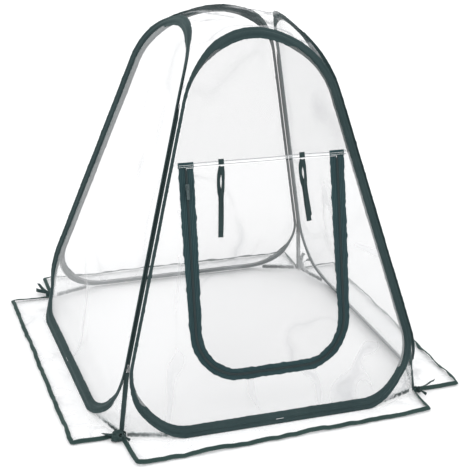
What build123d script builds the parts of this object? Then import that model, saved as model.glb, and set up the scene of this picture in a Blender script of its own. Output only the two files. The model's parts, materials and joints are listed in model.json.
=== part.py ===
from build123d import *
import math
import os

# Mini pop-up greenhouse: four closed spring-steel hoops in fabric sleeves stand as four leaning
# walls of clear film, sewn edge to edge at the corners, with a film roof, ground flaps and a
# zipped door. Millimetres, +Z up, origin on the ground under the centre, door towards -Y.

# ---- Overall shape ----
overall_height = 820.0      # ground to the top edge of the hoop sleeves
base_width = 700.0          # between neighbouring ground corners
corner_tuck = 27.0          # the gussets pull each ground corner in from the walls by this much
wall_slope = 0.285          # inward lean of a wall per unit of height
crown_radius = 390.0        # the tops of the walls curve inward
flare_start = 60.0          # below this height the walls curve outward
flare_radius = 140.0

# ---- Hoops and their sleeves ----
sleeve_width = 21.0
seam_allowance = 1.0        # thickness of the sleeve's flat sewn edges
tube_half_width = 3.0       # the raised middle of the sleeve that holds the steel
tube_half_depth = 3.8
sleeve_cloth = 0.6
hinge_gap = 1.8             # between a sleeve's edge and the sewn corner line
hoop_base_radius = 117.0    # rounding of the hoop's two lower corners
strip_thickness = 1.2
strip_width = 5.0
strip_end_gap = 1.0
ferrule_length = 18.0
ferrule_wall = 0.5
ferrule_play = 0.05

# ---- Films, bindings and seams ----
film = 0.5
film_tube_gap = 0.2
roof_gap = 0.05             # between the roof film and the inside of a sleeve's flat edge
tape = 0.8                  # thickness of zip tape and seam tape
seam_height = 557.0         # of the seam across the front wall
seam_tape_width = 8.0
seam_to_door_gap = 2.0
corner_tape_width = 10.0
corner_tape_thickness = 1.2
corner_roll_radius = 1.2    # rolled sewing thread and tape along each corner line
hem_height = 8.0
hem_thickness = 1.2
hem_corner_gap = 6.0        # from a ground corner to the end of its hem tape
gusset_tip = 0.08           # share of a gusset cut away at the ground corner
seam_play = 0.1             # between a corner seam and the sleeves it joins
curve_steps = 8             # points that a film's curved edge is fitted through

# ---- Zipped door ----
zip_tape_half_width = 15.0
zip_sleeve_gap = 3.0
zip_bottom = 113.0
zip_corner_radius = 100.0
tape_gap = 1.0              # each tape stops this far from the zip's middle line
coil_width = 2.5
coil_height = 1.8
coil_gap = 0.1
film_under_tape = 8.0       # the films end under the tapes, this far from the middle line
tape_end_drop = 3.0         # the door's tape ends this far below the door's upper edge
slider_height = 513.0
slider_width = 9.0
slider_length = 14.0
slider_plate = 1.6
slider_lip = 0.9
slider_play = 0.15
lug_width = 2.6
lug_length = 6.0
lug_height = 3.2
pin_radius = 0.9
pin_play = 0.1
pull_width = 6.6
pull_length = 27.0
pull_thickness = 1.4
pull_rounding = 0.8
pull_arm_gap = 0.4
pull_arm_length = 5.0

# ---- Ribbons ----
door_tie_width = 13.0
door_tie_length = 150.0
door_tie_opening = 6.0
door_tie_spacing = 186.0
ribbon = 0.6
door_tie_drop = 4.0
corner_ribbon_width = 10.0
corner_ribbon = 0.8
knot_length = 20.0
knot_width = 15.0
knot_height = 13.0
knot_rounding = 5.0
knot_offset = 12.0          # knot's middle outside the ground corner, along X and along Y

# ---- Ground flaps ----
skirt_depth = 62.0          # from the fold line to the outer edge
skirt_gap = 3.0             # from the foot of the wall to the fold line
skirt_play = 0.3
skirt_binding_width = 9.0
skirt_binding_lip = 2.0
skirt_binding_thickness = 1.3
hem_clearance = 1.5

# ---- Sizes that follow ----
lean = math.atan(wall_slope)
wall_foot = base_width / 2 + corner_tuck
half_sleeve = sleeve_width / 2
corner_inset = half_sleeve / math.cos(lean) + hinge_gap
hoop_top = overall_height - half_sleeve
side_reach = (wall_foot - corner_inset) * math.cos(lean)
crown_circle = (side_reach - hoop_top * math.sin(lean)) / (1 - math.sin(lean))
crown_centre = hoop_top - crown_circle
base_centre_z = hoop_base_radius + half_sleeve
base_centre_x = (side_reach - hoop_base_radius - base_centre_z * math.sin(lean)) / math.cos(lean)
crown_start = crown_centre + crown_circle * math.sin(lean)
through = 2 * wall_foot     # long enough to pass through any wall
walls = {"front": 0, "left": -90, "back": 180, "right": 90}
neighbours = {
    "front": ("left", "right"),
    "left": ("back", "front"),
    "back": ("right", "left"),
    "right": ("front", "back"),
}
corners = {"front_left": 0, "back_left": -90, "back_right": 180, "front_right": 90}


def wall_distance(height):
    """Distance of a wall's middle surface from the vertical centre line."""
    if height > crown_start:
        tilt = math.asin(math.sin(lean) + (height - crown_start) / crown_radius)
        return wall_foot - wall_slope * crown_start + crown_radius * (math.cos(tilt) - math.cos(lean))
    if height < flare_start:
        tilt = math.asin(math.sin(lean) + (flare_start - height) / flare_radius)
        return wall_foot - wall_slope * flare_start + flare_radius * (math.cos(lean) - math.cos(tilt))
    return wall_foot - wall_slope * height


def hoop_half_width(height, grow):
    """Half-width of the hoop line at a height, after moving the line outward by grow."""
    if height > crown_start:
        return math.sqrt((crown_circle + grow) ** 2 - (height - crown_centre) ** 2)
    return wall_foot - corner_inset - wall_slope * height + grow / math.cos(lean)


def foot_clearance(height):
    """How far past the hoop's flat foot the sleeve's edge first rises above a height."""
    radius = hoop_base_radius + half_sleeve
    return math.sqrt(radius ** 2 - (radius - height) ** 2)


wall_base = wall_distance(0)
skirt_fold = wall_base + skirt_gap
zip_half_width = hoop_half_width(seam_height, -half_sleeve) - zip_sleeve_gap - zip_tape_half_width
zip_top = seam_height - seam_tape_width / 2
door_top = zip_top - seam_to_door_gap
slider_floor = tape - film + coil_height
tape_face = tape - film


def wall_plane(across, height, outward):
    """Plane lying on the straight part of the front wall: x to the right, y up the wall."""
    normal = Vector(0, -math.cos(lean), math.sin(lean))
    middle = Vector(across, -wall_distance(height), height)
    return Plane(origin=middle + normal * outward, x_dir=(1, 0, 0), z_dir=normal)


def wall_line(outward):
    """Side view of the front wall, moved outward: flare, straight run and inward-curving crown."""
    up = Vector(math.sin(lean), math.cos(lean))
    normal = Vector(-math.cos(lean), math.sin(lean))
    low = Vector(-wall_distance(flare_start), flare_start) + normal * outward
    high = Vector(-wall_distance(crown_start), crown_start) + normal * outward
    rise = overall_height + sleeve_width - crown_start
    crown_tilt = math.asin(math.sin(lean) + rise / crown_radius)
    flare_tilt = math.asin(math.sin(lean) + (flare_start + half_sleeve) / flare_radius)
    Line(low, high)
    crown = JernArc(high, up, crown_radius + outward, math.degrees(lean - crown_tilt))
    flare = JernArc(low, up * -1, flare_radius - outward, math.degrees(lean - flare_tilt))
    return flare @ 1, crown @ 1


def wall_slab(inner, outer):
    """Everything between two distances outward of the front wall's middle surface."""
    with BuildPart() as slab:
        with BuildSketch(Plane.YZ):
            with BuildLine():
                inner_foot, inner_crown = wall_line(inner)
                outer_foot, outer_crown = wall_line(outer)
                Line(inner_foot, outer_foot)
                Line(inner_crown, outer_crown)
            make_face()
        extrude(amount=wall_foot, both=True)
    return slab.part


def hoop_prism(grow):
    """Solid through the wall, inside the hoop line moved outward by grow."""
    with BuildPart() as prism:
        with BuildSketch(Plane.XZ):
            with Locations((0, crown_centre)):
                Circle(crown_circle + grow)
            with Locations((-base_centre_x, base_centre_z), (base_centre_x, base_centre_z)):
                Circle(hoop_base_radius + grow)
            make_hull()
        extrude(amount=through)
    return prism.part


def zip_prism(grow, top):
    """Solid through the wall, inside the zip's line moved outward by grow, open at the top."""
    with BuildPart() as prism:
        with BuildSketch(Plane.XZ) as outline:
            with Locations((0, top)):
                width = 2 * (zip_half_width + grow)
                Rectangle(width, top - zip_bottom + grow, align=(Align.CENTER, Align.MAX))
            fillet(outline.vertices().group_by(Axis.Y)[0], zip_corner_radius + grow)
        extrude(amount=through)
    return prism.part


def band_prism(low, high, half_width):
    """Solid through the wall between two heights."""
    with BuildPart() as prism:
        with BuildSketch(Plane.XZ):
            with Locations((0, low)):
                Rectangle(2 * half_width, high - low, align=(Align.CENTER, Align.MIN))
        extrude(amount=through)
    return prism.part


def hoop_ring(half_width, half_depth):
    """Closed ring along the hoop line, lying in the wall."""
    with BuildPart() as ring:
        add(hoop_prism(half_width))
        add(hoop_prism(-half_width), mode=Mode.SUBTRACT)
        add(wall_slab(-half_depth, half_depth), mode=Mode.INTERSECT)
    return ring.part


def zip_strip(inner, outer, low, high, top):
    """Strip along the zip's line between two distances from it and two depths in the wall."""
    with BuildPart() as strip:
        add(zip_prism(outer, top))
        add(zip_prism(inner, top + sleeve_width), mode=Mode.SUBTRACT)
        add(wall_slab(low, high), mode=Mode.INTERSECT)
    return strip.part


def make_sleeve():
    """Fabric sleeve: flat sewn edges and a hollow middle that the steel strip lies in."""
    with BuildPart() as sleeve:
        add(hoop_ring(half_sleeve, seam_allowance / 2))
        add(hoop_ring(tube_half_width, tube_half_depth))
        add(
            hoop_ring(tube_half_width - sleeve_cloth, tube_half_depth - sleeve_cloth),
            mode=Mode.SUBTRACT,
        )
    return sleeve.part


def make_spring_hoop():
    """Flat spring-steel strip bent into a hoop, its ends butted inside the ferrule."""
    with BuildPart() as hoop:
        add(hoop_ring(strip_thickness / 2, strip_width / 2))
        add(band_prism(0, base_centre_z, strip_end_gap / 2), mode=Mode.SUBTRACT)
    return hoop.part


def make_ferrule():
    """Crimped tube that joins the two ends of the steel strip."""
    half_hole = strip_thickness / 2 + ferrule_play
    half_slot = strip_width / 2 + ferrule_play
    with BuildPart() as ferrule:
        add(hoop_ring(half_hole + ferrule_wall, half_slot + ferrule_wall))
        add(hoop_ring(half_hole, half_slot), mode=Mode.SUBTRACT)
        add(band_prism(0, base_centre_z, ferrule_length / 2), mode=Mode.INTERSECT)
    return ferrule.part


def make_wall_film():
    """Whole film of a plain wall, sewn to the inner face of the sleeve's flat edge."""
    with BuildPart() as sheet:
        add(hoop_prism(-tube_half_width - film_tube_gap))
        add(wall_slab(-seam_allowance / 2 - film, -seam_allowance / 2), mode=Mode.INTERSECT)
    return sheet.part


def hoop_point(angle, radius, centre_x, centre_z):
    """Point of the front wall on an arc of the hoop line's side view."""
    across = centre_x + radius * math.cos(angle)
    height = centre_z + radius * math.sin(angle)
    return Vector(across, -wall_distance(height), height)


def make_hem(side):
    """Hem tape from a ground corner towards the foot of the hoop; side is -1 or 1."""
    corner = Vector(side * base_width / 2, -base_width / 2)
    foot = Vector(side * base_centre_x, -wall_base)
    run = (foot - corner).normalized()
    start = corner + run * hem_corner_gap
    beyond_foot = foot_clearance(film + hem_height) + hem_thickness
    end = foot - run * (beyond_foot / abs(run.X))
    with BuildPart() as hem:
        with BuildSketch(Plane.XY.offset(film)):
            turn = math.degrees(math.atan2(run.Y, run.X))
            with Locations(Location((start + end) / 2, turn)):
                Rectangle((end - start).length, hem_thickness)
        extrude(amount=hem_height)
    return hem.part


def make_gusset(side):
    """Film between the hoop's lower corner, the ground and the corner tape; side is -1 or 1."""
    tip = Vector(side * base_width / 2, -base_width / 2, 0)
    edge = []
    tip_edge = []
    for step in range(curve_steps + 1):
        angle = -math.pi / 2 + (lean + math.pi / 2) * step / curve_steps
        point = hoop_point(angle, hoop_base_radius + half_sleeve, base_centre_x, base_centre_z)
        point = Vector(side * point.X, point.Y, max(point.Z, 0))
        edge.append(point)
        tip_edge.append(tip + (point - tip) * gusset_tip)
    surface = Face.make_surface_from_curves(Edge.make_spline(edge), Edge.make_spline(tip_edge))
    with BuildPart() as gusset:
        thicken(surface, amount=film / 2, both=True)
        split(bisect_by=Plane.XY.offset(film), keep=Keep.TOP)
        diagonal = Plane(origin=(0, 0, 0), z_dir=(-side, -1, 0))
        split(bisect_by=diagonal.offset(corner_tape_thickness), keep=Keep.TOP)
        add(sleeve, mode=Mode.SUBTRACT)
        add(make_hem(side), mode=Mode.SUBTRACT)
        for turned in (corner_seam, corner_seam.rotate(Axis.Z, 90)):
            add(turned, mode=Mode.SUBTRACT)
    return gusset.part


def make_corner_seam():
    """Flat tape up the gussets, then the rolled seam along the two sleeves' edges."""
    meet_height = base_centre_z + (hoop_base_radius + half_sleeve) * math.sin(lean)
    ground = Vector(-base_width / 2, -base_width / 2, 0)
    meet = Vector(-wall_distance(meet_height), -wall_distance(meet_height), meet_height)
    summit = Vector(-wall_distance(crown_start), -wall_distance(crown_start), crown_start)
    low_run = meet - ground
    high_run = summit - meet
    with BuildPart() as seam:
        with BuildSketch(Plane(origin=ground, z_dir=low_run, x_dir=(1, -1, 0))):
            Rectangle(corner_tape_width, corner_tape_thickness)
        extrude(amount=low_run.length * base_centre_z / meet_height)
        for start, run in ((ground, low_run), (meet, high_run)):
            with BuildSketch(Plane(origin=start, z_dir=run, x_dir=(1, -1, 0))):
                Circle(corner_roll_radius)
            extrude(amount=run.length)
        with Locations(meet):
            Sphere(corner_roll_radius)
        split(bisect_by=Plane.XY.offset(film), keep=Keep.TOP)
        room = hoop_ring(half_sleeve + seam_play, seam_allowance / 2 + seam_play)
        add(room, mode=Mode.SUBTRACT)
        add(room.rotate(Axis.Z, -90), mode=Mode.SUBTRACT)
    return seam.part


def roof_tunnel(sunk, turn):
    """Arched solid under two opposite corner panels of the roof, moved in and down by sunk."""
    side = []
    for step in range(curve_steps + 1):
        angle = lean + (math.pi / 2 - lean) * step / curve_steps
        point = hoop_point(angle, crown_circle + half_sleeve, 0, crown_centre)
        side.append(Vector((point.X - point.Y) / math.sqrt(2) - sunk, point.Z - sunk))
    with BuildPart() as tunnel:
        with BuildSketch(Plane.XZ):
            with BuildLine():
                Spline(side)
                Spline([Vector(-point.X, point.Y) for point in side])
                Line(side[-1], (-side[-1].X, side[-1].Y))
                Line(side[0], (-side[0].X, side[0].Y))
            make_face()
        extrude(amount=through, both=True)
    return tunnel.part.rotate(Axis.Z, turn)


def make_inside():
    """Everything between the flat sleeve edges of the front and back walls."""
    with BuildPart() as inside:
        with BuildSketch(Plane.YZ):
            with BuildLine():
                foot, crown = wall_line(-seam_allowance / 2 - roof_gap)
                mirror(about=Plane.YZ)
                Line(foot, (-foot.X, foot.Y))
                Line(crown, (-crown.X, crown.Y))
            make_face()
        extrude(amount=wall_foot, both=True)
    return inside.part


def make_roof():
    """Roof film over the four hoop tops, with a point running down each corner."""
    inside = make_inside()
    with BuildPart() as hollow:
        add(roof_tunnel(film, 45))
        add(roof_tunnel(film, 135), mode=Mode.INTERSECT)
    with BuildPart() as roof:
        add(roof_tunnel(0, 45))
        add(roof_tunnel(0, 135), mode=Mode.INTERSECT)
        add(inside, mode=Mode.INTERSECT)
        add(inside.rotate(Axis.Z, 90), mode=Mode.INTERSECT)
        add(hollow, mode=Mode.SUBTRACT)
    return roof.part


def make_skirt_film():
    """Film of a ground flap, outside its fold line."""
    width = base_width - 2 * skirt_binding_lip
    with BuildPart() as flap:
        with BuildSketch(Plane.XY):
            with Locations((0, -skirt_fold - skirt_play)):
                depth = skirt_depth - skirt_play - skirt_binding_lip
                Rectangle(width, depth, align=(Align.CENTER, Align.MAX))
        extrude(amount=film)
    return flap.part


def make_skirt_binding():
    """Folded tape round the three outer edges of a ground flap."""
    with BuildPart() as binding:
        with BuildSketch(Plane.XY):
            with Locations((0, -skirt_fold - skirt_play)):
                depth = skirt_depth - skirt_play
                inner_width = base_width - 2 * skirt_binding_width
                Rectangle(base_width, depth, align=(Align.CENTER, Align.MAX))
                Rectangle(
                    inner_width,
                    depth - skirt_binding_width,
                    align=(Align.CENTER, Align.MAX),
                    mode=Mode.SUBTRACT,
                )
        extrude(amount=skirt_binding_thickness)
        add(make_skirt_film(), mode=Mode.SUBTRACT)
    return binding.part


def make_hem_film():
    """Flat film between the wall's foot and the flap's fold line."""
    corner = base_width / 2
    inner = wall_base + hem_clearance
    foot = base_centre_x + foot_clearance(film) + hem_clearance
    with BuildPart() as strip:
        with BuildSketch(Plane.XY):
            with BuildLine():
                Polyline(
                    (-corner, -skirt_fold),
                    (-corner, -corner - hem_clearance),
                    (-foot, -inner),
                    (foot, -inner),
                    (corner, -corner - hem_clearance),
                    (corner, -skirt_fold),
                    close=True,
                )
            make_face()
        extrude(amount=film)
    return strip.part


def make_corner_tie(tails):
    """Knotted ribbon outside the front left ground corner; tails are (turn, lift, length)."""
    middle = -base_width / 2 - knot_offset
    with BuildPart() as tie:
        with Locations(Location((middle, middle, 0), (0, 0, 45))):
            Box(knot_length, knot_width, knot_height, align=(Align.CENTER, Align.CENTER, Align.MIN))
        fillet(tie.edges().filter_by(Axis.Z), knot_rounding)
        fillet(tie.faces().sort_by(Axis.Z)[-1].edges(), knot_rounding)
        for turn, lift, length in tails:
            heading = Location((middle, middle, knot_height / 3), (0, 0, turn))
            with Locations(heading * Location((0, 0, 0), (0, -lift, 0))):
                Box(
                    length,
                    corner_ribbon_width,
                    corner_ribbon,
                    align=(Align.MIN, Align.CENTER, Align.CENTER),
                )
    return tie.part


def save(piece, name):
    """Label a finished piece and write it to its own file."""
    piece.label = name
    export_step(piece, f"parts/{name}.step")


os.makedirs("parts", exist_ok=True)

# ---- The four walls and what repeats on each ----
sleeve = make_sleeve()
corner_seam = make_corner_seam()
gussets = (make_gusset(-1), make_gusset(1))
with BuildPart() as hem_tape:
    add(make_hem(-1))
    add(make_hem(1))
repeated = {
    "sleeve": sleeve,
    "spring_hoop": make_spring_hoop(),
    "ferrule": make_ferrule(),
    "hem_tape": hem_tape.part,
    "hem_film": make_hem_film(),
    "skirt_film": make_skirt_film(),
    "skirt_binding": make_skirt_binding(),
}
wall_film = make_wall_film()
for wall, turn in walls.items():
    for name, piece in repeated.items():
        save(piece.rotate(Axis.Z, turn), f"{wall}_{name}")
    for gusset, neighbour in zip(gussets, neighbours[wall]):
        save(gusset.rotate(Axis.Z, turn), f"{wall}_gusset_at_{neighbour}")
    if wall != "front":
        save(wall_film.rotate(Axis.Z, turn), f"{wall}_film")

# ---- Corners ----
corner_tails = {
    "front_left": ((205, 5, 34), (245, 10, 30)),
    "back_left": ((210, 8, 45), (240, 5, 30)),
    "back_right": ((240, 8, 40), (210, 30, 34)),
    "front_right": ((225, 45, 40), (200, 5, 30)),
}
for corner, turn in corners.items():
    save(corner_seam.rotate(Axis.Z, turn), f"{corner}_corner_seam")
    save(make_corner_tie(corner_tails[corner]).rotate(Axis.Z, turn), f"{corner}_corner_tie")

# ---- Roof ----
save(make_roof(), "roof_film")

# ---- Front wall: films, seam across it, and the zip's fixed half ----
film_low = -seam_allowance / 2 - film
film_high = -seam_allowance / 2
with BuildPart() as front_upper_film:
    add(wall_film)
    add(band_prism(seam_height, overall_height, wall_foot), mode=Mode.INTERSECT)
save(front_upper_film.part, "front_upper_film")

with BuildPart() as front_lower_film:
    add(wall_film)
    add(band_prism(seam_height - film_tube_gap, overall_height, wall_foot), mode=Mode.SUBTRACT)
    add(zip_prism(film_under_tape, overall_height), mode=Mode.SUBTRACT)
save(front_lower_film.part, "front_lower_film")

with BuildPart() as front_seam_tape:
    add(hoop_prism(-half_sleeve))
    add(
        band_prism(seam_height - seam_tape_width / 2, seam_height + seam_tape_width / 2, wall_foot),
        mode=Mode.INTERSECT,
    )
    add(wall_slab(film_high, tape_face), mode=Mode.INTERSECT)
save(front_seam_tape.part, "front_seam_tape")

save(zip_strip(tape_gap, zip_tape_half_width, film_high, tape_face, zip_top), "zip_tape_outer")
save(zip_strip(coil_gap, coil_gap + coil_width, tape_face, slider_floor, zip_top), "zip_coil_outer")

# ---- Door: film, the zip's moving half, slider and pull ----
with BuildPart() as door_film:
    add(zip_prism(-film_under_tape, door_top))
    add(wall_slab(film_low, film_high), mode=Mode.INTERSECT)
save(door_film.part, "door_film")

door_tape_top = door_top - tape_end_drop
save(zip_strip(-zip_tape_half_width, -tape_gap, film_high, tape_face, door_tape_top), "zip_tape_inner")
coil_top = door_tape_top - tape_end_drop
save(
    zip_strip(-coil_gap - coil_width, -coil_gap, tape_face, slider_floor, coil_top),
    "zip_coil_inner",
)

plate_low = slider_floor + slider_play
pivot_out = plate_low + slider_plate + lug_height / 2
with BuildPart() as zip_slider:
    with BuildSketch(wall_plane(-zip_half_width, slider_height, plate_low)):
        RectangleRounded(slider_width, slider_length, slider_width / 4)
    extrude(amount=slider_plate)
    with BuildSketch(wall_plane(-zip_half_width, slider_height, tape_face + slider_play)):
        with Locations(
            (-slider_width / 2 + slider_lip / 2, 0),
            (slider_width / 2 - slider_lip / 2, 0),
        ):
            Rectangle(slider_lip, slider_length - slider_width / 2)
    extrude(amount=coil_height)
    with BuildSketch(wall_plane(-zip_half_width, slider_height, plate_low + slider_plate)):
        Rectangle(lug_width, lug_length)
    extrude(amount=lug_height)
    pivot = wall_plane(-zip_half_width, slider_height, pivot_out)
    with BuildSketch(Plane(origin=pivot.origin, x_dir=pivot.y_dir, z_dir=(1, 0, 0))):
        Circle(pin_radius + pin_play)
    extrude(amount=slider_width, both=True, mode=Mode.SUBTRACT)
save(zip_slider.part, "zip_slider")

with BuildPart() as zip_pull:
    with BuildSketch(wall_plane(-zip_half_width, slider_height, pivot_out - pull_thickness / 2)):
        with Locations((0, pin_radius)):
            RectangleRounded(pull_width, pull_length, pull_rounding, align=(Align.CENTER, Align.MAX))
        with Locations((0, pin_radius)):
            Rectangle(
                lug_width + 2 * pull_arm_gap,
                pull_arm_length + pin_radius,
                align=(Align.CENTER, Align.MAX),
                mode=Mode.SUBTRACT,
            )
    extrude(amount=pull_thickness)
    with BuildSketch(Plane(origin=pivot.origin, x_dir=pivot.y_dir, z_dir=(1, 0, 0))):
        Circle(pin_radius)
    extrude(amount=pull_width / 2 - pull_arm_gap, both=True)
save(zip_pull.part, "zip_pull")

# ---- Ribbon loops that tie the rolled-up door ----
tie_middle = door_tie_drop + door_tie_length / 2
tie_height = door_top - tie_middle * math.cos(lean)
tie_out = film_high + slider_play + door_tie_opening / 2
for tie_name, side in (("door_tie_left", -1), ("door_tie_right", 1)):
    hang = wall_plane(side * door_tie_spacing / 2, tie_height, tie_out)
    with BuildPart() as door_tie:
        with BuildSketch(Plane(origin=hang.origin, x_dir=hang.y_dir, z_dir=(1, 0, 0))):
            SlotOverall(door_tie_length, door_tie_opening)
            SlotOverall(
                door_tie_length - 2 * ribbon,
                door_tie_opening - 2 * ribbon,
                mode=Mode.SUBTRACT,
            )
        extrude(amount=door_tie_width / 2, both=True)
    save(door_tie.part, tie_name)
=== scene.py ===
import json
from math import atan, cos, pi, radians, sin, sqrt

import bmesh
import bpy
import numpy as np
from mathutils import Matrix, Vector, noise

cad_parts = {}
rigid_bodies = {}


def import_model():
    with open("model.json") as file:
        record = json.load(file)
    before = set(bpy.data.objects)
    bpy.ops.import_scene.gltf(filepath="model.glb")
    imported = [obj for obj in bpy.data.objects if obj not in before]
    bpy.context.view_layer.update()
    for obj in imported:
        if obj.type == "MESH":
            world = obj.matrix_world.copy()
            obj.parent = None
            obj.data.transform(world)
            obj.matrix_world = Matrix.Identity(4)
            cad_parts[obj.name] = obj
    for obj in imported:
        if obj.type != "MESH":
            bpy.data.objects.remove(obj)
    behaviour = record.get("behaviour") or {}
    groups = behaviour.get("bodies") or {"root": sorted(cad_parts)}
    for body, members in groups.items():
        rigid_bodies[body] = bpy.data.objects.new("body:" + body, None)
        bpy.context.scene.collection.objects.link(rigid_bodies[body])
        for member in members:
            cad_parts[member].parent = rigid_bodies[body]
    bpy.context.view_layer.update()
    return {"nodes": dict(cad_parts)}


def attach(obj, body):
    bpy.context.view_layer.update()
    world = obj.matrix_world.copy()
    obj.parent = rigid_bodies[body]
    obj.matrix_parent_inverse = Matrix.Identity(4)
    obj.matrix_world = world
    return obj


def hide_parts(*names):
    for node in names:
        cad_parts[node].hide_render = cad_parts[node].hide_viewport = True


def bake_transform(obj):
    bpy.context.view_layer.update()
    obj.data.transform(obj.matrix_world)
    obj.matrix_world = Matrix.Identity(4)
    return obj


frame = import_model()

for loaded in bpy.context.view_layer.objects:
    loaded.select_set(False)

# ---- Camera, floor and light ----
# The house stands on a plain white floor in a bright, even white room. The camera stands in
# front of the door, a little to its left and above the roof, and leans very slightly.
eye = Vector((-0.934, -2.539, 1.446))
heading, dip, lean_over = radians(20.66), radians(23.15), radians(2.39)
ahead = Vector((sin(heading) * cos(dip), cos(heading) * cos(dip), -sin(dip)))
level = ahead.cross(Vector((0, 0, 1))).normalized()
upward = level.cross(ahead)
camera_right = level * cos(lean_over) + upward * sin(lean_over)
camera_up = upward * cos(lean_over) - level * sin(lean_over)
lens = bpy.data.cameras.new("camera")
lens.sensor_width = 36.0
lens.lens = 36.0 * 1230.2 / 470
lens.clip_end = 60.0
camera = bpy.data.objects.new("camera", lens)
turn = Matrix((camera_right, camera_up, -ahead)).transposed().to_4x4()
camera.matrix_world = Matrix.Translation(eye) @ turn
bpy.context.scene.collection.objects.link(camera)
bpy.context.scene.camera = camera
bpy.context.scene.view_settings.view_transform = "Standard"

bpy.ops.mesh.primitive_plane_add(size=40, location=(0, 0, -0.0012))
floor = bpy.context.object
floor.name = "floor"
floor_white = bpy.data.materials.new("floor_white")
floor_white.use_nodes = True
floor_finish = floor_white.node_tree.nodes["Principled BSDF"]
floor_finish.inputs["Base Color"].default_value = (0.86, 0.86, 0.865, 1)
floor_finish.inputs["Roughness"].default_value = 0.9
floor_finish.inputs["Specular IOR Level"].default_value = 0.1
floor.data.materials.append(floor_white)

room = bpy.data.worlds.new("white_room")
room.use_nodes = True
room.node_tree.nodes["Background"].inputs["Color"].default_value = (1, 1, 1, 1)
room.node_tree.nodes["Background"].inputs["Strength"].default_value = 1.12
bpy.context.scene.world = room
for lamp_name, tilt, spin, strength, width in (
    ("key_light", 40, -35, 0.9, 35),
    ("fill_light", 55, 60, 0.35, 50),
):
    lamp = bpy.data.lights.new(lamp_name, "SUN")
    lamp.energy = strength
    lamp.angle = radians(width)
    stand = bpy.data.objects.new(lamp_name, lamp)
    stand.rotation_euler = (radians(tilt), 0, radians(spin))
    bpy.context.scene.collection.objects.link(stand)

# ---- The four wall shapes ----
# Each wall is one closed loop of spring steel in a cloth sleeve, round at the top and at the
# two lower corners. The walls lean inward, bend in at the crown and kick out at the foot.
wall_names = ("front", "left", "back", "right")
wall_turns = {"front": 0, "left": -90, "back": 180, "right": 90}
overall_height, base_width, corner_tuck = 0.820, 0.700, 0.027
wall_slope, crown_radius, flare_start, flare_radius = 0.285, 0.390, 0.060, 0.140
sleeve_width, hinge_gap, hoop_base_radius = 0.021, 0.0018, 0.117
lean = atan(wall_slope)
wall_foot = base_width / 2 + corner_tuck
half_sleeve = sleeve_width / 2
hoop_top = overall_height - half_sleeve
side_reach = (wall_foot - half_sleeve / cos(lean) - hinge_gap) * cos(lean)
crown_circle = (side_reach - hoop_top * sin(lean)) / (1 - sin(lean))
crown_centre = hoop_top - crown_circle
base_centre_z = hoop_base_radius + half_sleeve
base_centre_x = (side_reach - hoop_base_radius - base_centre_z * sin(lean)) / cos(lean)
crown_start = crown_centre + crown_circle * sin(lean)


def wall_section(height):
    """How far out a wall stands at a height, and how far it leans there."""
    height = np.asarray(height, float)
    up = np.clip((height - crown_start) / crown_radius, 0, None)
    down = np.clip((flare_start - height) / flare_radius, 0, None)
    tilt = np.arcsin(sin(lean) + up + down)
    reach = wall_foot - wall_slope * np.clip(height, flare_start, crown_start)
    reach = reach + (up > 0) * crown_radius * (np.cos(tilt) - cos(lean))
    return reach + (down > 0) * flare_radius * (cos(lean) - np.cos(tilt)), tilt


def on_wall(wall, across, height, out=0.0):
    """Points of a wall, across to the right and moved out from the middle of its cloth."""
    reach, tilt = wall_section(height)
    across = np.asarray(across, float)
    deep = -reach - out * np.cos(tilt)
    raised = height + out * np.sin(tilt)
    return turned(np.stack(np.broadcast_arrays(across, deep, raised), -1), wall)


def turned(points, wall):
    """Points of the front wall, turned round to where another wall has them."""
    angle = radians(wall_turns[wall])
    spin = np.array([[cos(angle), sin(angle), 0], [-sin(angle), cos(angle), 0], [0, 0, 1]])
    return np.asarray(points, float) @ spin


def arc(centre, radius, first, last, step):
    """Points and outward directions along an arc, between two angles."""
    count = max(2, int(abs(last - first) * radius / step))
    angles = np.linspace(first, last, count, endpoint=False)
    out = np.stack([np.cos(angles), np.sin(angles)], -1)
    return np.asarray(centre) + radius * out, out


def run(start, end, direction, step):
    """Points and one outward direction along a straight piece."""
    start, end = np.asarray(start, float), np.asarray(end, float)
    count = max(2, int(np.linalg.norm(end - start) / step))
    share = np.linspace(0, 1, count, endpoint=False)[:, None]
    return start + share * (end - start), np.tile(np.asarray(direction, float), (count, 1))


def hoop_line(step, first=0.0, last=1.0):
    """The hoop in front view, from the middle of its foot round to the right and back."""
    side = np.array([cos(lean), sin(lean)])
    other = side * (-1, 1)
    low, high = (base_centre_x, base_centre_z), (0, crown_centre)
    low_left = (-base_centre_x, base_centre_z)
    foot = base_centre_z - hoop_base_radius
    pieces = [
        run((0, foot), (base_centre_x, foot), (0, -1), step),
        arc(low, hoop_base_radius, -pi / 2, lean, step),
        run(low + hoop_base_radius * side, high + crown_circle * side, side, step),
        arc(high, crown_circle, lean, pi - lean, step),
        run(high + crown_circle * other, low_left + hoop_base_radius * other, other, step),
        arc(low_left, hoop_base_radius, pi - lean, 1.5 * pi, step),
        run((-base_centre_x, foot), (0, foot), (0, -1), step),
    ]
    line = np.concatenate([piece[0] for piece in pieces])
    out = np.concatenate([piece[1] for piece in pieces])
    keep = slice(int(first * len(line)), int(last * len(line)))
    return line[keep], out[keep]


def distance_along(line):
    """Running length at each point of a line."""
    steps = np.linalg.norm(np.diff(line, axis=0), axis=1)
    return np.concatenate([[0], np.cumsum(steps)])


def ripple(along, seed, *waves):
    """A gentle uneven wave: each of waves is a wavelength and a height."""
    dice = np.random.default_rng(seed)
    total = np.zeros_like(along)
    for length, height in waves:
        for detune in (1.0, 0.73, 1.31):
            phase = dice.uniform(0, 2 * pi)
            total += height / 3 * np.sin(2 * pi * along * detune / length + phase)
    return total


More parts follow.
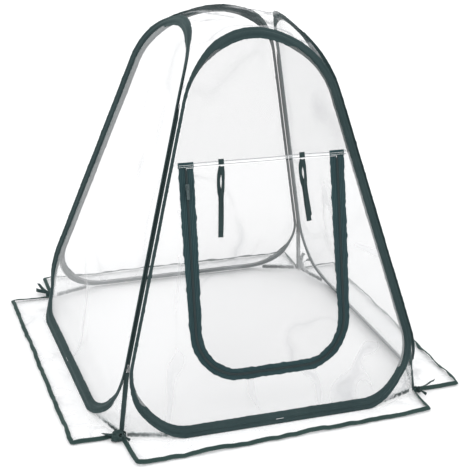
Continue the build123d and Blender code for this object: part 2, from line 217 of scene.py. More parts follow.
def sew_band(name, points, along, across, closed=False):
    """A cloth band as a mesh, from the corners of its cross-section at each station."""
    stations, around = points.shape[:2]
    index = np.arange(stations * around).reshape(stations, around)
    here = index if closed else index[:-1]
    there = np.roll(index, -1, 0) if closed else index[1:]
    quads = np.stack([here, np.roll(here, -1, 1), np.roll(there, -1, 1), there], -1)
    faces = quads.reshape(-1, 4).tolist()
    ahead_of = np.append(along[1:], along[-1] + (along[1] - along[0]))[: len(here)]
    u = np.stack([along[: len(here)]] * 2 + [ahead_of] * 2, -1)[:, None, :]
    v = np.stack([across, np.roll(across, -1), np.roll(across, -1), across], -1)[None]
    uv = np.stack(np.broadcast_arrays(u, v), -1).reshape(-1, 2)
    if not closed:
        faces += [index[0][::-1].tolist(), index[-1].tolist()]
        uv = np.concatenate([uv, np.zeros((2 * around, 2))])
    mesh = bpy.data.meshes.new(name)
    mesh.from_pydata(points.reshape(-1, 3).tolist(), [], faces)
    mesh.uv_layers.new(name="UVMap").data.foreach_set("uv", uv.ravel())
    return finish_mesh(name, mesh)


def finish_mesh(name, mesh, weld=0.0, outward=True):
    """Puts a mesh in the scene, with its faces pointing outwards and shaded smooth."""
    work = bmesh.new()
    work.from_mesh(mesh)
    if weld:
        bmesh.ops.remove_doubles(work, verts=work.verts, dist=weld)
    if outward:
        bmesh.ops.recalc_face_normals(work, faces=work.faces)
    work.to_mesh(mesh)
    work.free()
    mesh.shade_smooth()
    piece = bpy.data.objects.new(name, mesh)
    bpy.context.scene.collection.objects.link(piece)
    return piece


def add_node(tree, kind, values=None, links=None, **settings):
    """One shader node, with its settings, its plain values and what feeds it."""
    node = tree.nodes.new(kind)
    for key, value in settings.items():
        setattr(node, key, value)
    for key, value in (values or {}).items():
        node.inputs[key].default_value = value
    for key, source in (links or {}).items():
        tree.links.new(source, node.inputs[key])
    return node


def math_node(tree, operation, first, second=None, clamp=False):
    """A sum on shader values; each of first and second is a number or an output."""
    node = tree.nodes.new("ShaderNodeMath")
    node.operation = operation
    node.use_clamp = clamp
    for socket, value in zip(node.inputs, (first, second)):
        if isinstance(value, (int, float)):
            socket.default_value = value
        elif value is not None:
            tree.links.new(value, socket)
    return node.outputs[0]


def new_group(name, inputs, outputs):
    """An empty shader node group with named sockets."""
    group = bpy.data.node_groups.new(name, "ShaderNodeTree")
    for socket_name, kind, value in inputs:
        socket = group.interface.new_socket(socket_name, in_out="INPUT", socket_type=kind)
        if value is not None:
            socket.default_value = value
    for socket_name, kind in outputs:
        group.interface.new_socket(socket_name, in_out="OUTPUT", socket_type=kind)
    return group, group.nodes.new("NodeGroupInput").outputs, group.nodes.new("NodeGroupOutput")


COLOUR, NUMBER, PLACE = "NodeSocketColor", "NodeSocketFloat", "NodeSocketVector"

# Woven cloth: crossing threads, slow fading, rubbed edges and one or two sewn rows, all
# measured in metres along and across the band. Where the second colour is near white, as on
# the hem tape, the rubbed edges are painted glints.
weave, put, weave_out = new_group(
    "woven_cloth",
    [
        ("Place", PLACE, None),
        ("Cloth", COLOUR, (0.03, 0.06, 0.06, 1)),
        ("Wear And Glint", COLOUR, (0.08, 0.12, 0.12, 1)),
        ("Half Width", NUMBER, 0.0105),
        ("Threads", NUMBER, 320.0),
        ("Seam Inset", NUMBER, 0.0018),
        ("Ribs", NUMBER, 0.0),
    ],
    [("Colour", COLOUR), ("Roughness", NUMBER), ("Height", NUMBER)],
)
warp = add_node(weave, "ShaderNodeTexWave", {"Distortion": 0.6},
    {"Vector": put["Place"], "Scale": put["Threads"]})
weft = add_node(
    weave, "ShaderNodeTexWave", {"Distortion": 0.6},
    {"Vector": put["Place"], "Scale": put["Threads"]},
    bands_direction="Y",
)
threads = math_node(weave, "MULTIPLY", warp.outputs["Fac"], weft.outputs["Fac"])
spot = add_node(weave, "ShaderNodeTexCoord").outputs["Object"]
fading = add_node(weave, "ShaderNodeTexNoise", {"Scale": 9.0, "Detail": 4.0},
    {"Vector": spot}).outputs["Fac"]
crumple = add_node(weave, "ShaderNodeTexNoise", {"Scale": 85.0, "Detail": 3.0},
    {"Vector": spot}).outputs["Fac"]
across_band = add_node(weave, "ShaderNodeSeparateXYZ", links={"Vector": put["Place"]})
from_middle = math_node(weave, "ABSOLUTE", across_band.outputs["Y"])
to_edge = math_node(weave, "SUBTRACT", put["Half Width"], from_middle)
edge = math_node(weave, "SUBTRACT", 1.0, math_node(weave, "DIVIDE", to_edge, 0.0012), True)
seam_gap = math_node(weave, "ABSOLUTE", math_node(weave, "SUBTRACT", to_edge, put["Seam Inset"]))
seam = math_node(weave, "SUBTRACT", 1.0, math_node(weave, "DIVIDE", seam_gap, 0.00045), True)
dashes = math_node(weave, "SINE",
    math_node(weave, "MULTIPLY", across_band.outputs["X"], 2 * pi / 0.0032))
stitches = math_node(weave, "MULTIPLY", seam, math_node(weave, "GREATER_THAN", dashes, -0.35))
rib_wave = math_node(weave, "SINE",
    math_node(weave, "MULTIPLY", across_band.outputs["Y"], 2 * pi / 0.0034))
ribs = math_node(weave, "MULTIPLY", rib_wave, put["Ribs"])
fade_share = math_node(weave, "MULTIPLY", math_node(weave, "SUBTRACT", fading, 0.35, True), 0.75)
# Rubbed edges; on the hem tape this colour is near white and is a painted glint, not wear.
edge_wear_and_glint = math_node(weave, "MULTIPLY", math_node(weave, "MULTIPLY", edge, crumple), 0.8)
stripes = math_node(weave, "ADD", math_node(weave, "MULTIPLY", stitches, 0.55),
    math_node(weave, "MULTIPLY", ribs, 0.22))
light_share = math_node(weave, "ADD", fade_share, math_node(weave, "ADD", edge_wear_and_glint, stripes), True)
blend_cloth = weave.nodes.new("ShaderNodeMix")
blend_cloth.data_type = "RGBA"
weave.links.new(light_share, blend_cloth.inputs[0])
weave.links.new(put["Cloth"], blend_cloth.inputs[6])
weave.links.new(put["Wear And Glint"], blend_cloth.inputs[7])
depth = math_node(weave, "ADD", math_node(weave, "MULTIPLY", threads, 0.35),
    math_node(weave, "MULTIPLY", crumple, 0.9))
depth = math_node(weave, "ADD", depth,
    math_node(weave, "ADD", math_node(weave, "MULTIPLY", stitches, 0.8), ribs))
weave.links.new(blend_cloth.outputs[2], weave_out.inputs["Colour"])
weave.links.new(math_node(weave, "ADD", 0.62, math_node(weave, "MULTIPLY", crumple, 0.3)),
    weave_out.inputs["Roughness"])
weave.links.new(depth, weave_out.inputs["Height"])


def cloth(name, colour, wear_and_glint, half_width, threads=320.0, inset=0.0018, ribs=0.0, bump=0.35):
    """A woven finish for one kind of band."""
    finish = bpy.data.materials.new(name)
    finish.use_nodes = True
    tree = finish.node_tree
    shader = tree.nodes["Principled BSDF"]
    woven = tree.nodes.new("ShaderNodeGroup")
    woven.node_tree = weave
    woven.inputs["Cloth"].default_value = (*colour, 1)
    woven.inputs["Wear And Glint"].default_value = (*wear_and_glint, 1)
    woven.inputs["Half Width"].default_value = half_width
    woven.inputs["Threads"].default_value = threads
    woven.inputs["Seam Inset"].default_value = inset
    woven.inputs["Ribs"].default_value = ribs
    tree.links.new(add_node(tree, "ShaderNodeTexCoord").outputs["UV"], woven.inputs["Place"])
    raised = add_node(tree, "ShaderNodeBump", {"Strength": bump, "Distance": 0.0004},
        {"Height": woven.outputs["Height"]})
    tree.links.new(woven.outputs["Colour"], shader.inputs["Base Color"])
    tree.links.new(woven.outputs["Roughness"], shader.inputs["Roughness"])
    tree.links.new(raised.outputs["Normal"], shader.inputs["Normal"])
    shader.inputs["Specular IOR Level"].default_value = 0.22
    shader.inputs["Sheen Weight"].default_value = 0.12
    shader.inputs["Sheen Roughness"].default_value = 0.5
    shader.inputs["Sheen Tint"].default_value = (0.55, 0.72, 0.70, 1)
    return finish


# ---- Spring hoops and ferrules ----
# Each hoop is a flat blued spring-steel strip, its two ends butted and crimped in a short
# aluminium tube at the middle of the foot. They lie inside the sleeves.
def metal(name, colour, roughness, streak, stretch):
    """Bare metal with fine lengthwise streaks and small dull spots."""
    finish = bpy.data.materials.new(name)
    finish.use_nodes = True
    tree = finish.node_tree
    shader = tree.nodes["Principled BSDF"]
    place = add_node(tree, "ShaderNodeTexCoord").outputs["Object"]
    long_way = add_node(tree, "ShaderNodeMapping", {"Scale": stretch}, {"Vector": place})
    lines = add_node(tree, "ShaderNodeTexNoise", {"Scale": 60.0, "Detail": 6.0},
        {"Vector": long_way.outputs[0]})
    tone = add_node(tree, "ShaderNodeValToRGB", links={"Fac": lines.outputs["Fac"]})
    tone.color_ramp.elements[0].color = (*(c * (1 - streak) for c in colour), 1)
    tone.color_ramp.elements[1].color = (*(min(1, c * (1 + streak)) for c in colour), 1)
    rough = math_node(tree, "ADD", roughness,
        math_node(tree, "MULTIPLY", lines.outputs["Fac"], 0.2))
    scratch = add_node(tree, "ShaderNodeBump", {"Strength": 0.2, "Distance": 0.0002},
        {"Height": lines.outputs["Fac"]})
    tree.links.new(tone.outputs["Color"], shader.inputs["Base Color"])
    tree.links.new(rough, shader.inputs["Roughness"])
    tree.links.new(scratch.outputs["Normal"], shader.inputs["Normal"])
    shader.inputs["Metallic"].default_value = 1.0
    return finish


spring_steel = metal("blued_spring_steel", (0.16, 0.18, 0.24), 0.28, 0.35, (1, 1, 6))
aluminium = metal("crimped_aluminium", (0.72, 0.73, 0.74), 0.3, 0.12, (8, 1, 1))


def refinish(node, finish):
    """Gives a part of the frame its own finish."""
    for place in node.material_slots:
        place.material = finish


# Along each corner the cloth that joins two walls pulls their hoops together and turns the
# sleeves towards each other, so that they lie face to face like a fin.
leg_turns = {"front": (54, 45), "left": (45, 28), "back": (58, 45), "right": (45, 28)}
leg_pulls = {"front": (0.0025, 0.003), "left": (0.004, 0.004), "back": (0.003, 0.004),
    "right": (0.003, 0.004)}


def leg_share(line):
    """How far each point of a hoop is drawn into a corner: 1 on the legs, 0 on the bends."""
    beside = wall_section(line[:, 1])[0] - np.abs(line[:, 0])
    share = np.clip(1 - (beside - 0.012) / 0.055, 0, 1)
    return share**2 * (3 - 2 * share)


def hoop_band(wall, line, out, v, w, turned_with):
    """A band along a hoop; v runs outward and w off the wall, before the corners pull on it."""
    drawn = leg_share(line)[:, None]
    at_left = line[:, :1] < 0
    turn_by = drawn * turned_with * np.radians(np.where(at_left, *leg_turns[wall]))
    side = v * np.cos(turn_by) - w * np.sin(turn_by) + drawn * np.where(at_left, *leg_pulls[wall])
    proud = v * np.sin(turn_by) + w * np.cos(turn_by)
    across = line[:, :1] + out[:, :1] * side
    height = line[:, 1:] + out[:, 1:] * side
    return on_wall(wall, across, np.maximum(height, 0.0004), proud)


strip_section = np.array([(-0.6, -2.5), (0.6, -2.5), (0.6, 2.5), (-0.6, 2.5)]) / 1000
for wall in wall_names:
    line, out = hoop_line(0.0025)
    line, out = line[1:], out[1:]
    along = distance_along(line)
    strip_v, strip_w = strip_section.T
    strip = sew_band(f"{wall}_steel_strip", hoop_band(wall, line, out, strip_v, strip_w, 0), along,
        strip_v)
    strip.data.materials.append(spring_steel)
    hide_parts(f"{wall}_spring_hoop")
    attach(strip, f"{wall}_wall")
    refinish(frame["nodes"][f"{wall}_ferrule"], aluminium)

# ---- Hoop sleeves ----
# A band of dark slate-green oxford cloth is folded round the steel and stitched flat along
# both edges, so it has a round channel in the middle and slightly puckered flat edges.
sleeve_green = cloth("sleeve_oxford", (0.017, 0.034, 0.036), (0.045, 0.075, 0.076), 0.0105,
    inset=0.0024)
half_section = np.array(
    [
        (-10.5, 0.15), (-10.1, 0.5), (-7.0, 0.55), (-4.4, 0.65), (-3.3, 2.1), (-2.2, 3.3),
        (-0.8, 3.85), (0.8, 3.85), (2.2, 3.3), (3.3, 2.1), (4.4, 0.65), (7.0, 0.55),
        (10.1, 0.5), (10.5, 0.15),
    ]
) / 1000
sleeve_section = np.concatenate([half_section, half_section[::-1] * (1, -1)])
for order, wall in enumerate(wall_names):
    line, out = hoop_line(0.0016)
    along = distance_along(line)
    total = along[-1]
    loops = 2 * pi * along / total
    seed = 11 + order
    v, w = sleeve_section.T
    towards_edge = (np.abs(v) / half_sleeve) ** 2
    dice = np.random.default_rng(seed)
    flutter = np.zeros((2, len(along)))
    for turns in (31, 47, 66, 97, 133, 171):
        for side in (0, 1):
            flutter[side] += np.sin(turns * loops + dice.uniform(0, 2 * pi)) / 6
    sway = sum(np.sin(n * loops + dice.uniform(0, 2 * pi)) for n in (7, 12, 19)) / 3
    edge_wave = np.where(v[None] < 0, flutter[0][:, None], flutter[1][:, None])
    wide = v[None] * (1 + 0.055 * edge_wave * towards_edge) + 0.0004 * sway[:, None]
    flatter = 1 - 0.15 * leg_share(line)[:, None]
    proud = w[None] * flatter + 0.0012 * np.abs(edge_wave) * towards_edge
    band = hoop_band(wall, line, out, wide, proud, 1)
    sleeve = sew_band(f"{wall}_hoop_sleeve", band, along, v, closed=True)
    sleeve.data.materials.append(sleeve_green)
    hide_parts(f"{wall}_sleeve")
    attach(sleeve, f"{wall}_wall")

# ---- Clear film of the walls ----
# Each wall is filled with soft clear vinyl, sewn to the inner face of the sleeve. It was folded
# flat for packing, so it keeps faint creases, a slight haze and a wavy shine. The crease lines
# are painted dark grey, which is painted shade in the creases.
creases, take, give = new_group(
    "film_creases",
    [
        ("Place", PLACE, None),
        ("Scale", NUMBER, 5.0),
        ("Sharpness", NUMBER, 26.0),
        ("Amount", NUMBER, 0.5),
        ("Haze And Panel Shade", COLOUR, (0.93, 0.95, 0.96, 1)),
    ],
    [("Crease", NUMBER), ("Height", NUMBER), ("Film Tone And Crease Shade", COLOUR)],
)
drift = add_node(creases, "ShaderNodeTexNoise", {"Detail": 2.0, "Roughness": 0.45},
    {"Vector": take["Place"], "Scale": take["Scale"]})
line_gap = math_node(creases, "ABSOLUTE", math_node(creases, "SUBTRACT", drift.outputs["Fac"], 0.5))
fine_line = math_node(creases, "SUBTRACT", 1.0,
    math_node(creases, "MULTIPLY", line_gap, take["Sharpness"]), True)
fine_line = math_node(creases, "POWER", fine_line, 2.0)
patches = add_node(creases, "ShaderNodeTexNoise", {"Scale": 7.0, "Detail": 1.0},
    {"Vector": take["Place"]})
patchy = math_node(creases, "MULTIPLY",
    math_node(creases, "SUBTRACT", patches.outputs["Fac"], 0.44, True), 5.0, True)
shown_line = math_node(creases, "MULTIPLY", fine_line,
    math_node(creases, "MULTIPLY", patchy, take["Amount"]), True)
slack = add_node(creases, "ShaderNodeTexNoise", {"Scale": 14.0, "Detail": 3.0},
    {"Vector": take["Place"]})
# Painted shade: the crease lines are mixed towards dark grey, the shade a crease would hold, not a colour of the vinyl.
tone = creases.nodes.new("ShaderNodeMix")
tone.data_type = "RGBA"
tone.inputs[7].default_value = (0.30, 0.31, 0.33, 1)
creases.links.new(shown_line, tone.inputs[0])
creases.links.new(take["Haze And Panel Shade"], tone.inputs[6])
swell = math_node(creases, "ADD", math_node(creases, "MULTIPLY", shown_line, 0.8),
    slack.outputs["Fac"])
creases.links.new(shown_line, give.inputs["Crease"])
creases.links.new(swell, give.inputs["Height"])
creases.links.new(tone.outputs[2], give.inputs["Film Tone And Crease Shade"])


def vinyl(name, clear, grazing, scale, amount, sharpness=26.0, stretch=(1, 1, 1), turn=(0, 0, 0),
    falloff=1.5, veil_and_shade_tone=0.94):
    """Clear vinyl: nearly invisible face on, milky where seen along its surface."""
    finish = bpy.data.materials.new(name)
    finish.use_nodes = True
    tree = finish.node_tree
    shader = tree.nodes["Principled BSDF"]
    place = add_node(tree, "ShaderNodeTexCoord").outputs["Object"]
    laid = add_node(tree, "ShaderNodeMapping", {"Scale": stretch, "Rotation": turn},
        {"Vector": place})
    folds = tree.nodes.new("ShaderNodeGroup")
    folds.node_tree = creases
    folds.inputs["Scale"].default_value = scale
    folds.inputs["Sharpness"].default_value = sharpness
    folds.inputs["Amount"].default_value = amount
    # A veil tone below the pale 0.94 haze darkens the whole panel: that darkening is painted shade.
    folds.inputs["Haze And Panel Shade"].default_value = (veil_and_shade_tone, veil_and_shade_tone * 1.01, veil_and_shade_tone * 1.02, 1)
    tree.links.new(laid.outputs[0], folds.inputs["Place"])
    raised = add_node(tree, "ShaderNodeBump", {"Strength": 0.6, "Distance": 0.003},
        {"Height": folds.outputs["Height"]})
    angle = add_node(tree, "ShaderNodeLayerWeight", {"Blend": 0.5})
    slanting = math_node(tree, "POWER", angle.outputs["Facing"], falloff)
    veil = math_node(tree, "ADD", clear, math_node(tree, "MULTIPLY", slanting, grazing))
    alpha = math_node(tree, "ADD", veil, math_node(tree, "MULTIPLY", folds.outputs["Crease"], 0.55),
        True)
    tree.links.new(folds.outputs["Film Tone And Crease Shade"], shader.inputs["Base Color"])
    tree.links.new(raised.outputs["Normal"], shader.inputs["Normal"])
    tree.links.new(alpha, shader.inputs["Alpha"])
    shader.inputs["Roughness"].default_value = 0.12
    shader.inputs["IOR"].default_value = 1.5
    return finish


def spread_film(name, low, high, rows, wall, out=-0.00075, slack=0.0022, seed=0.0):
    """A film sewn between two edges of a wall, with shallow creases that all dent inward."""
    share = np.linspace(0, 1, rows)[:, None]
    across = low[None, :, 0] * (1 - share) + high[None, :, 0] * share
    height = low[None, :, 1] * (1 - share) + high[None, :, 1] * share
    span = np.hypot(*(high - low).T)[None]
    loose = np.clip(8 * share * (1 - share), 0, 1) * np.clip(span / 0.06, 0, 1)
    dent = np.zeros_like(across)
    for i, j in np.ndindex(across.shape):
        spot = Vector((across[i, j] * 5.0 + seed, height[i, j] * 3.2, seed * 2))
        fold = 1 - abs(noise.noise(spot * 2.1))
        dent[i, j] = 0.35 + 0.4 * noise.noise(spot) + 0.45 * fold**8
    points = on_wall(wall, across, height, out - slack * np.clip(dent, 0, 1.3) * loose)
    return lay_sheet(name, points)


def lay_sheet(name, points):
    """A single sheet of film as a mesh, from its rows of points."""
    rows, columns = points.shape[:2]
    index = np.arange(rows * columns).reshape(rows, columns)
    quads = np.stack([index[:-1, :-1], index[:-1, 1:], index[1:, 1:], index[1:, :-1]], -1)
    mesh = bpy.data.meshes.new(name)
    mesh.from_pydata(points.reshape(-1, 3).tolist(), [], quads.reshape(-1, 4).tolist())
    return finish_mesh(name, mesh, weld=0.00002, outward=False)


def evenly(line, count):
    """The same line with its points spread evenly."""
    along = distance_along(line)
    spots = np.linspace(0, along[-1], count)
    return np.stack([np.interp(spots, along, line[:, k]) for k in range(line.shape[1])], -1)


# The side walls' veil tone of 0.70 is painted shade over the vinyl's pale haze.
wall_vinyl = vinyl("wall_vinyl", 0.12, 0.36, 3.4, 0.45, stretch=(1, 1, 0.45), veil_and_shade_tone=0.70)
film_inset = 0.0032
line, out = hoop_line(0.004)
sewn_edge = line - out * film_inset
split_low = int(np.argmin(np.abs(sewn_edge[:, 1] - 0.35) + 9 * (sewn_edge[:, 0] < 0)))
split_high = int(np.argmin(np.abs(sewn_edge[:, 1] - 0.35) + 9 * (sewn_edge[:, 0] > 0)))
upper_edge = evenly(sewn_edge[split_low : split_high + 1], 150)
lower_edge = evenly(np.concatenate([sewn_edge[: split_low + 1][::-1],
    sewn_edge[split_high:][::-1]]), 150)
for order, wall in enumerate(("left", "back", "right")):
    film = spread_film(f"{wall}_wall_film", lower_edge, upper_edge, 110, wall, seed=3.0 + order)
    film.data.materials.append(wall_vinyl)
    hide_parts(f"{wall}_film")
    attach(film, f"{wall}_wall")

# ---- Front wall film, above and round the door ----
# The front film is in two pieces, joined by a straight seam across the wall above the door.
# The lower one has the door cut out of it and is sewn to the outer half of the zip.
seam_height, zip_bottom, zip_corner_radius, zip_tape_half_width = 0.557, 0.110, 0.100, 0.015
right_pull = 0.005


def hoop_half_width(height, grow):
    """Half of the hoop's width at a height, after moving its line outward."""
    if height > crown_start:
        return sqrt((crown_circle + grow) ** 2 - (height - crown_centre) ** 2)
    return side_reach / cos(lean) - wall_slope * height + grow / cos(lean)


zip_half_width = hoop_half_width(seam_height, -half_sleeve) - 0.003 - zip_tape_half_width
zip_top = seam_height - 0.004
door_top = zip_top - 0.002


def zip_line(top, step, grow=0.0):
    """The zip in front view, down on the left, across and up on the right."""
    reach, radius = zip_half_width + grow, zip_corner_radius + grow
    foot, turn_at = zip_bottom - grow, zip_half_width - zip_corner_radius
    corner_z = zip_bottom + zip_corner_radius
    pieces = [
        run((-reach, top), (-reach, corner_z), (-1, 0), step),
        arc((-turn_at, corner_z), radius, pi, 1.5 * pi, step),
        run((-turn_at, foot), (turn_at, foot), (0, -1), step),
        arc((turn_at, corner_z), radius, 1.5 * pi, 2 * pi, step),
        run((reach, corner_z), (reach, top), (1, 0), step),
    ]
    line = np.concatenate([piece[0] for piece in pieces] + [[(reach, top)]])
    line[:, 0] -= right_pull * np.clip(line[:, 0] / zip_half_width, 0, 1)
    return line, np.concatenate([piece[1] for piece in pieces] + [[(1, 0)]])


seam_half = hoop_half_width(seam_height, -film_inset)
above = sewn_edge[sewn_edge[:, 1] > seam_height]
arch = evenly(np.concatenate([[(seam_half, seam_height)], above, [(-seam_half, seam_height)]]), 140)
straight = evenly(np.array([(seam_half, seam_height), (-seam_half, seam_height)]), 140)
upper_film = spread_film("front_top_film", straight, arch, 60, "front", slack=0.0016, seed=9.0)
# The upper front film's veil tone of 0.27 is painted shade over the vinyl's pale haze.
upper_vinyl = vinyl("upper_vinyl", 0.30, 0.20, 3.6, 0.35, stretch=(1, 1, 0.5), veil_and_shade_tone=0.27)
upper_film.data.materials.append(upper_vinyl)
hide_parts("front_upper_film")
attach(upper_film, "front_wall")

below = np.flatnonzero(sewn_edge[:, 1] < seam_height - 0.0002)
gap_at = int(np.argmax(np.diff(below))) + 1
right_part, left_part = sewn_edge[below[:gap_at]], sewn_edge[below[gap_at:]]
hem_side = np.concatenate([[(-seam_half, seam_height)], left_part, right_part,
    [(seam_half, seam_height)]])
door_side, _ = zip_line(seam_height, 0.004, 0.008)
lower_film = spread_film("front_low_film", evenly(hem_side, 260), evenly(door_side, 260), 46,
    "front", slack=0.002, seed=14.0)
# The lower front film's veil tone of 0.62 is painted shade over the vinyl's pale haze.
front_vinyl = vinyl("front_vinyl", 0.32, 0.25, 5.5, 0.65, stretch=(1, 1, 0.45), turn=(0, 0.6, 0),
    veil_and_shade_tone=0.62)
lower_film.data.materials.append(front_vinyl)
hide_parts("front_lower_film")
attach(lower_film, "front_wall")

# ---- Seam across the front ----
# The two films overlap by a finger's width and are sewn together with two rows of pale
# thread, which show as two thin grey lines. The grey of the rows is painted shade along the
# stitching, not the thread's own colour.
seam_vinyl = bpy.data.materials.new("seam_vinyl")
seam_vinyl.use_nodes = True
seam_tree = seam_vinyl.node_tree
seam_shader = seam_tree.nodes["Principled BSDF"]
seam_place = add_node(seam_tree, "ShaderNodeSeparateXYZ",
    links={"Vector": add_node(seam_tree, "ShaderNodeTexCoord").outputs["UV"]})
row_gap = math_node(seam_tree, "ABSOLUTE",
    math_node(seam_tree, "SUBTRACT", math_node(seam_tree, "ABSOLUTE", seam_place.outputs["Y"]),
    0.0031))
rows = math_node(seam_tree, "SUBTRACT", 1.0, math_node(seam_tree, "DIVIDE", row_gap, 0.0013), True)
# Painted shade: the stitch rows are coloured dark grey, though the thread itself is pale.
seam_stitch_shade_ramp = seam_tree.nodes.new("ShaderNodeValToRGB")
seam_stitch_shade_ramp.color_ramp.elements[0].color = (0.88, 0.90, 0.91, 1)
seam_stitch_shade_ramp.color_ramp.elements[1].color = (0.20, 0.21, 0.22, 1)
seam_tree.links.new(rows, seam_stitch_shade_ramp.inputs["Fac"])
seam_tree.links.new(seam_stitch_shade_ramp.outputs["Color"], seam_shader.inputs["Base Color"])
seam_tree.links.new(math_node(seam_tree, "ADD", 0.16, math_node(seam_tree, "MULTIPLY", rows, 0.6)),
    seam_shader.inputs["Alpha"])
thread_bump = add_node(seam_tree, "ShaderNodeBump", {"Strength": 0.5, "Distance": 0.0006},
    {"Height": rows})
seam_tree.links.new(thread_bump.outputs["Normal"], seam_shader.inputs["Normal"])
seam_shader.inputs["Roughness"].default_value = 0.2
seam_run = np.linspace(-1, 1, 240) * hoop_half_width(seam_height, -half_sleeve)
seam_section = np.array([(-4, -0.4), (-4, 0.25), (-1.5, 0.3), (1.5, 0.3), (4, 0.25),
    (4, -0.4)]) / 1000
sagging = ripple(seam_run, 5, (0.16, 0.0007))[:, None]
seam_band = on_wall("front", seam_run[:, None] + 0 * seam_section[None, :, 0],
    seam_height + seam_section[None, :, 0] + sagging, seam_section[None, :, 1])
seam_strip = sew_band("front_cross_seam", seam_band, seam_run, seam_section[:, 0])
seam_strip.data.materials.append(seam_vinyl)
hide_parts("front_seam_tape")
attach(seam_strip, "front_wall")

# ---- Zip: the two tapes ----
# The zip is a long U of knitted tape, one half sewn to the wall and one to the door. Its
# tapes have lengthwise ribs, and their tops are folded under and stitched in white thread.
zip_green = cloth("zip_tape_knit", (0.010, 0.029, 0.033), (0.045, 0.092, 0.100), 0.015,
    threads=260.0, inset=0.0015, ribs=1.3, bump=0.6)


def zip_tape(name, low, high, top, seed, body, node):
    """One half of the zip tape, between two distances from the zip's middle line."""
    line, out = zip_line(top, 0.0018)
    along = distance_along(line)
    ridge = np.linspace(low, high, 13)
    section_v = np.concatenate([ridge, ridge[::-1]])
    lift = 0.15 * np.sin(np.linspace(0, 4 * pi, 13))
    section_w = np.concatenate([0.25 + lift, np.full(13, -0.45)]) / 1000
    free_edge = low if abs(low) > abs(high) else high
    nearness = np.abs(section_v / free_edge) ** 4
    wave = ripple(along, seed, (0.05, 0.0011), (0.019, 0.0007))[:, None]
    puff = np.abs(ripple(along, seed + 1, (0.07, 0.0012), (0.024, 0.0010)))[:, None]
    stretched = 0.82 + 0.30 * np.clip((line[:, 1:] - zip_bottom) / 0.30, 0, 1)
    v = section_v[None] * stretched + wave * nearness
    w = section_w[None] + puff * nearness
    band = on_wall("front", line[:, 0, None] + out[:, 0, None] * v,
        line[:, 1, None] + out[:, 1, None] * v, w)
    tape = sew_band(name, band, along, section_v)
    tape.data.materials.append(zip_green)
    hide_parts(node)
    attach(tape, body)
    return tape


door_tape_top = door_top - 0.0002
zip_tape("zip_wall_tape", 0.001, zip_tape_half_width, zip_top, 21, "front_wall", "zip_tape_outer")
zip_tape("zip_door_tape", -zip_tape_half_width, -0.001, door_tape_top, 27, "door", "zip_tape_inner")

# ---- Zip: the coils ----
# Two rows of small nylon turns along the inner edges of the tapes hook into each other, and
# close the door to the wall.
coil_nylon = bpy.data.materials.new("coil_nylon")
coil_nylon.use_nodes = True
coil_tree = coil_nylon.node_tree
coil_shader = coil_tree.nodes["Principled BSDF"]
coil_grain = add_node(coil_tree, "ShaderNodeTexNoise", {"Scale": 260.0, "Detail": 3.0},
    {"Vector": add_node(coil_tree, "ShaderNodeTexCoord").outputs["Object"]})
coil_tone = add_node(coil_tree, "ShaderNodeValToRGB", links={"Fac": coil_grain.outputs["Fac"]})
coil_tone.color_ramp.elements[0].color = (0.006, 0.015, 0.017, 1)
coil_tone.color_ramp.elements[1].color = (0.018, 0.036, 0.039, 1)
coil_tree.links.new(coil_tone.outputs["Color"], coil_shader.inputs["Base Color"])
coil_tree.links.new(math_node(coil_tree, "ADD", 0.5,
    math_node(coil_tree, "MULTIPLY", coil_grain.outputs["Fac"], 0.3)),
    coil_shader.inputs["Roughness"])
tooth_pitch = 0.0015
coil_section = np.array([(-0.5, 0.3), (-0.5, 1.4), (0.4, 2.0), (1.3, 2.1), (2.1, 2.0), (2.6, 1.4),
    (2.6, 0.3)]) / 1000
for name, side, top, body, node in (
    ("zip_wall_coil", 1, zip_top, "front_wall", "zip_coil_outer"),
    ("zip_door_coil", -1, door_tape_top - 0.003, "door", "zip_coil_inner"),
):
    line, out = zip_line(top, tooth_pitch / 5)
    along = distance_along(line)
    bead = 0.5 + 0.5 * np.cos(2 * pi * along / tooth_pitch + (pi if side < 0 else 0))[:, None]
    v = side * (0.00135 + (coil_section[None, :, 0] - 0.00135) * (0.8 + 0.2 * bead))
    w = 0.0003 + (coil_section[None, :, 1] - 0.0003) * (0.55 + 0.45 * bead)
    band = on_wall("front", line[:, 0, None] + out[:, 0, None] * v,
        line[:, 1, None] + out[:, 1, None] * v, w)
    coil = sew_band(name, band, along, coil_section[:, 0])
    coil.data.materials.append(coil_nylon)
    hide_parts(node)
    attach(coil, body)

# ---- Zip: slider and pull ----
# A die-cast slider with dark green enamel and a flat pull tab, with a fine uneven grain in its colour.
enamel = bpy.data.materials.new("slider_enamel")
enamel.use_nodes = True
enamel_tree = enamel.node_tree
enamel_shader = enamel_tree.nodes["Principled BSDF"]
enamel_grain = add_node(enamel_tree, "ShaderNodeTexNoise", {"Scale": 420.0, "Detail": 4.0},
    {"Vector": add_node(enamel_tree, "ShaderNodeTexCoord").outputs["Object"]})
enamel_tone = add_node(enamel_tree, "ShaderNodeValToRGB",
    links={"Fac": enamel_grain.outputs["Fac"]})
enamel_tone.color_ramp.elements[0].color = (0.022, 0.042, 0.044, 1)
enamel_tone.color_ramp.elements[1].color = (0.060, 0.095, 0.098, 1)
enamel_tone.color_ramp.elements[0].position = 0.35
enamel_tone.color_ramp.elements[1].position = 0.75
enamel_tree.links.new(enamel_tone.outputs["Color"], enamel_shader.inputs["Base Color"])
enamel_tree.links.new(math_node(enamel_tree, "ADD", 0.18,
    math_node(enamel_tree, "MULTIPLY", enamel_grain.outputs["Fac"], 0.25)),
    enamel_shader.inputs["Roughness"])
enamel_shader.inputs["Metallic"].default_value = 0.35
enamel_shader.inputs["Coat Weight"].default_value = 0.6
for name in ("zip_slider", "zip_pull"):
    refinish(frame["nodes"][name], enamel)

